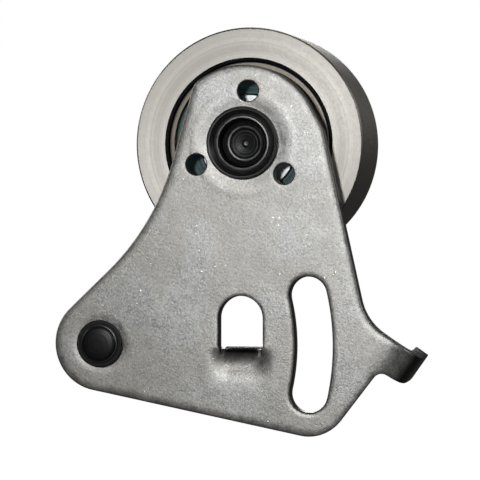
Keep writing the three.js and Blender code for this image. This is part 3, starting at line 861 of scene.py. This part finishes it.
def turned_steel():
    """The pulley: pale turned faces, dark belt surface, and painted shade on the bore chamfer."""
    look = Look("turned_pulley_steel")
    marks = look.rings(0.55, 3)
    wide = look.rings(2.6, 2, 4)
    grain = look.noise(0.5, 2, 0.6)
    cloud = look.noise(11, 2, 0.5, offset=4)
    tone = look.math("MULTIPLY_ADD", wide, 0.45, look.math("MULTIPLY", grain, 0.35))
    tone = look.math("MULTIPLY_ADD", marks, 0.35, tone)
    base = look.mix(look.ramp(tone, 0.40, 0.78), (0.640, 0.607, 0.552), (0.80, 0.768, 0.708))
    base = look.mix(look.math("MULTIPLY", cloud, 0.30), base, (0.68, 0.68, 0.66))
    belt_grain = look.noise(0.9, 4, 0.7, offset=12)
    belt = look.mix(look.ramp(belt_grain, 0.3, 0.7), (0.115, 0.109, 0.095), (0.190, 0.181, 0.160))
    axial = look.noise(1.2, 2, 0.5, stretch=(1, 8, 1), offset=6)
    belt = look.mix(look.ramp(axial, 0.45, 0.7), belt, (0.235, 0.226, 0.203))
    belt_edge = PULLEY_R - 0.5
    base = look.mix(look.ramp(look.radius, belt_edge, belt_edge + 0.12), base, belt)
    # painted shade: the bore chamfer and bore are painted near black for the shade in the recess
    inner = look.ramp(look.radius, 24.38, 24.46, 1.0, 0.0)
    base = look.mix(inner, base, look.mix(grain, (0.055, 0.057, 0.060), (0.085, 0.087, 0.092)))
    look.color(base)
    look.turned_grain(0.55)
    look.roughness(look.math("MULTIPLY_ADD", grain, 0.16, 0.42))
    look.bump([(marks, 0.020), (wide, 0.010), (grain, 0.010)])
    return look.material


def ground_steel():
    """Bearing rings: pale inner ring; the outer one's face is darkened as painted shade, with a painted
    highlight on its rim.
    """
    look = Look("ground_bearing_steel")
    marks = look.rings(0.8, 2)
    grain = look.noise(0.9, 2, 0.5)
    base = look.mix(look.ramp(marks, 0.3, 0.7), (0.44, 0.40, 0.34), (0.56, 0.52, 0.46))
    # painted highlight: a bright line round the outer ring's rounded rim
    rim = look.band(22.85, 23.2, 0.06)
    # painted shade: the outer ring's face is darkened brown for the plate's shadow and the dark it
    # reflects
    painted_shade_face = look.mix(0.74, base, (0.10, 0.082, 0.060))
    base = look.mix(look.ramp(look.radius, 21, 21.5), (0.62, 0.63, 0.64), painted_shade_face)
    base = look.mix(rim, base, (0.78, 0.76, 0.72))
    look.color(base)
    look.roughness(look.math("MULTIPLY_ADD", grain, 0.12, 0.36))
    look.bump([(marks, 0.002)])
    return look.material


def black_oxide():
    """Hub and pivot: black oxide, with bare metal showing on each turned land, a painted sheen on the
    outer flange and a painted highlight on the centre tip.
    """
    look = Look("black_oxide_steel", metallic=0.75)
    marks = look.rings(0.5, 2, 7)
    grain = look.noise(0.45, 3, 0.6)
    cloud = look.noise(3.0, 2, 0.5, offset=3)
    base = look.mix(look.ramp(grain, 0.3, 0.7), (0.013, 0.013, 0.014), (0.032, 0.032, 0.033))
    # painted sheen: everything beyond radius 8, the flange included, is painted lighter than the recessed
    # bore
    base = look.mix(look.ramp(look.radius, 8.0, 9.0, 0.0, 0.5), base, (0.070, 0.070, 0.068))
    bare_lands_and_tip_highlight = look.math("MAXIMUM", look.band(7.05, 8.0), look.band(4.25, 4.95))
    # painted highlight: the centre tip of the bore, below radius 1.3, is painted bright; the two bands
    # above are real bare lands
    bare_lands_and_tip_highlight = look.math("MAXIMUM", bare_lands_and_tip_highlight, look.ramp(look.radius, 0.4, 1.3, 1.0, 0.0))
    bare_lands_and_tip_highlight = look.math("MULTIPLY", bare_lands_and_tip_highlight, look.ramp(look.math("ADD", grain, cloud), 0.7, 1.25, 0.55, 1.0))
    base = look.mix(look.math("MULTIPLY", bare_lands_and_tip_highlight, 0.60), base, (0.40, 0.40, 0.39))
    look.color(base)
    look.roughness(look.math("MULTIPLY_ADD", grain, 0.2, look.ramp(cloud, 0.3, 0.7, 0.20, 0.30)))
    look.bump([(marks, 0.10), (grain, 0.008)])
    return look.material


def oiled_black():
    """The pivot's domed head and its flanged bush: smoother, with a painted glint on one turned edge."""
    look = Look("glossy_black_oxide", metallic=0.35)
    grain = look.noise(0.5, 3, 0.6)
    cloud = look.noise(2.4, 2, 0.5, offset=3)
    base = look.mix(look.ramp(grain, 0.3, 0.7), (0.004, 0.004, 0.005), (0.009, 0.009, 0.011))
    # painted highlight: a bright glint round the dome's turned edge
    edge = look.math("MULTIPLY", look.band(5.02, 5.30, 0.05), look.ramp(cloud, 0.3, 0.7, 0.35, 0.8))
    base = look.mix(look.math("MULTIPLY", edge, 0.35), base, (0.25, 0.25, 0.24))
    look.color(base)
    look.roughness(look.math("MULTIPLY_ADD", grain, 0.10, look.ramp(look.radius, 5.4, 5.9, 0.27, 0.30)))
    look.shader.inputs["Specular IOR Level"].default_value = 0.5
    look.bump([(look.rings(0.5, 2, 3), 0.0015), (grain, 0.0012)])
    return look.material


def zinc_steel():
    look = Look("zinc_plated_steel")
    grain = look.noise(0.6, 3, 0.6)
    cloud = look.noise(4, 2, 0.5, offset=3)
    base = look.mix(look.ramp(cloud, 0.3, 0.7), (0.44, 0.46, 0.47), (0.60, 0.61, 0.60))
    look.color(look.mix(look.math("MULTIPLY", grain, 0.4), base, (0.36, 0.37, 0.36)))
    look.roughness(look.math("MULTIPLY_ADD", grain, 0.2, 0.28))
    look.bump([(look.rings(0.4, 2), 0.008), (grain, 0.010)])
    return look.material


def ball_steel():
    look = Look("polished_ball_steel")
    grain = look.noise(1.2, 2, 0.5)
    look.color(look.mix(grain, (0.80, 0.80, 0.79), (0.90, 0.90, 0.89)))
    look.roughness(look.math("MULTIPLY_ADD", grain, 0.05, 0.05))
    look.bump([(look.noise(0.3, 2, 0.5), 0.0005)])
    return look.material


def seal_rubber():
    look = Look("teal_seal_rubber", metallic=0.0)
    grain = look.noise(0.5, 3, 0.6)
    cloud = look.noise(3.5, 2, 0.5, offset=3)
    base = look.mix(look.ramp(cloud, 0.3, 0.7), (0.075, 0.170, 0.180), (0.135, 0.260, 0.265))
    base = look.mix(look.ramp(look.rings(0.6, 2), 0.55, 0.75, 0.0, 0.35), base, (0.14, 0.29, 0.29))
    look.color(base)
    look.roughness(look.math("MULTIPLY_ADD", grain, 0.25, 0.34))
    look.bump([(look.rings(0.5, 2), 0.02), (grain, 0.010)])
    return look.material


# ---------------------------------------------------------------- assembly

LOOKS = {
    "raw_steel": raw_steel(), "turned_steel": turned_steel(), "ground_steel": ground_steel(),
    "black_oxide": black_oxide(), "oiled_black": oiled_black(), "zinc_steel": zinc_steel(),
    "ball_steel": ball_steel(), "seal_rubber": seal_rubber(),
}


def place(obj, body, node, slot, look=None):
    obj.data.materials.clear()
    obj.data.materials.append(LOOKS[look or slot])
    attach(obj, body)
    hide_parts(node)


place(bracket(), "bracket", "bracket_plate", "raw_steel")
place(axle_pin(), "bracket", "axle_pin", "black_oxide")
spacer_profile = ring_profile(BEARING_BORE_R, 11.4, REAR + FIT, BEARING_FRONT - FIT, 0.2)
spacer = turned("hub_spacer", spacer_profile, AXLE)
place(spacer, "bracket", "axle_spacer", "zinc_steel")
inner_ring, outer_ring = bearing_rings()
place(inner_ring, "bracket", "bearing_inner_ring", "ground_steel")
place(outer_ring, "pulley", "bearing_outer_ring", "ground_steel")
place(pulley(), "pulley", "pulley_rim", "turned_steel")
place(seal("seal_front", BEARING_FRONT + 0.3, 1), "pulley", "bearing_front_seal", "seal_rubber")
place(seal("seal_rear", BEARING_REAR - 0.3, -1), "pulley", "bearing_rear_seal", "seal_rubber")
bush, pin, washer = pivot_parts()
place(bush, "bracket", "pivot_bush", "black_oxide", "oiled_black")
place(pin, "pivot", "pivot_pin", "black_oxide", "oiled_black")
place(washer, "pivot", "pivot_washer", "zinc_steel")
place(snap_ring(), "pivot", "pivot_circlip", "black_oxide")
place(cage_half("cage_half_front", -1), "cage", "cage_front", "zinc_steel")
place(cage_half("cage_half_rear", 1), "cage", "cage_rear", "zinc_steel")
for i in range(BALLS):
    step = 360 / BALLS
    seat = np.array(AXLE) + PITCH_R * unit(step * (i + 0.5))
    centre = np.array(AXLE) + PITCH_R * unit(step * i)
    place(rivet(f"rivet_{i + 1}", seat), "cage", f"cage_rivet_{i + 1}", "zinc_steel")
    place(ball(f"ball_steel_{i + 1}", centre), f"ball_{i + 1}", f"bearing_ball_{i + 1}", "ball_steel")


# ---------------------------------------------------------------- studio

scene = bpy.context.scene
scene.view_settings.view_transform = "Standard"
scene.view_settings.look = "None"

TARGET = Vector((41.15, -17.0, 29.66)) * MM


def from_target(azimuth, elevation, distance):
    """A point seen from the target: azimuth 0 is straight in front, positive to the right."""
    a, e = math.radians(azimuth), math.radians(elevation)
    flat = math.cos(e)
    return TARGET + Vector((math.sin(a) * flat, -math.cos(a) * flat, math.sin(e))) * distance


def aim(obj, at):
    obj.rotation_euler = (at - obj.location).to_track_quat("-Z", "Y").to_euler()


camera = bpy.data.objects.new("camera", bpy.data.cameras.new("camera"))
scene.collection.objects.link(camera)
camera.location = from_target(13.28, 0.74, 0.6585)
aim(camera, TARGET)
camera.data.lens = 176.0
camera.data.sensor_width = 36.0
camera.data.clip_start = 0.01
scene.camera = camera


def softbox(name, azimuth, elevation, distance, size, power, tint=(1, 1, 1)):
    light = bpy.data.objects.new(name, bpy.data.lights.new(name, "AREA"))
    scene.collection.objects.link(light)
    light.location = from_target(azimuth, elevation, distance)
    aim(light, TARGET)
    light.data.shape = "DISK"
    light.data.size = size
    light.data.energy = power
    light.data.color = tint
    return light


softbox("key", -4, 8, 1.1, 0.12, 2.6, (0.985, 0.995, 1.0))
softbox("right", 92, 24, 1.2, 0.6, 4.5)
softbox("left", -105, 22, 1.2, 0.6, 3.2, (1, 0.96, 0.9))
softbox("top", 170, 58, 1.2, 0.8, 6)
softbox("rear", 200, 12, 1.4, 0.9, 13)


def studio_world():
    world = bpy.data.worlds.new("studio")
    scene.world = world
    world.use_nodes = True
    world.node_tree.nodes["Background"].inputs["Color"].default_value = (0.075, 0.075, 0.075, 1)
    world.node_tree.nodes["Background"].inputs["Strength"].default_value = 1.0


def pale_floor():
    """A round pale floor well below the part, whose rim rises into a seamless wall."""
    verts, faces, around = [], [], 96
    rings = [(0.0, -0.8), (1.6, -0.8), (2.1, -0.72), (2.5, -0.5), (2.75, -0.1), (2.85, 0.6), (2.85, 3.0)]
    for r, z in rings:
        for k in range(around):
            a = 2 * math.pi * k / around
            verts.append((TARGET.x + r * math.cos(a), r * math.sin(a), z))
    for j in range(len(rings) - 1):
        for k in range(around):
            m = (k + 1) % around
            faces.append((j * around + k, j * around + m, (j + 1) * around + m, (j + 1) * around + k))
    mesh = bpy.data.meshes.new("floor")
    mesh.from_pydata(verts, [], faces)
    floor = bpy.data.objects.new("floor", mesh)
    scene.collection.objects.link(floor)
    material = bpy.data.materials.new("pale_floor")
    material.use_nodes = True
    shader = material.node_tree.nodes["Principled BSDF"]
    shader.inputs["Base Color"].default_value = (0.9, 0.9, 0.9, 1)
    shader.inputs["Roughness"].default_value = 0.9
    shader.inputs["Emission Color"].default_value = (1, 1, 1, 1)
    shader.inputs["Emission Strength"].default_value = 0.9
    mesh.materials.append(material)
    floor.visible_glossy = False
    floor.visible_diffuse = False


studio_world()
pale_floor()
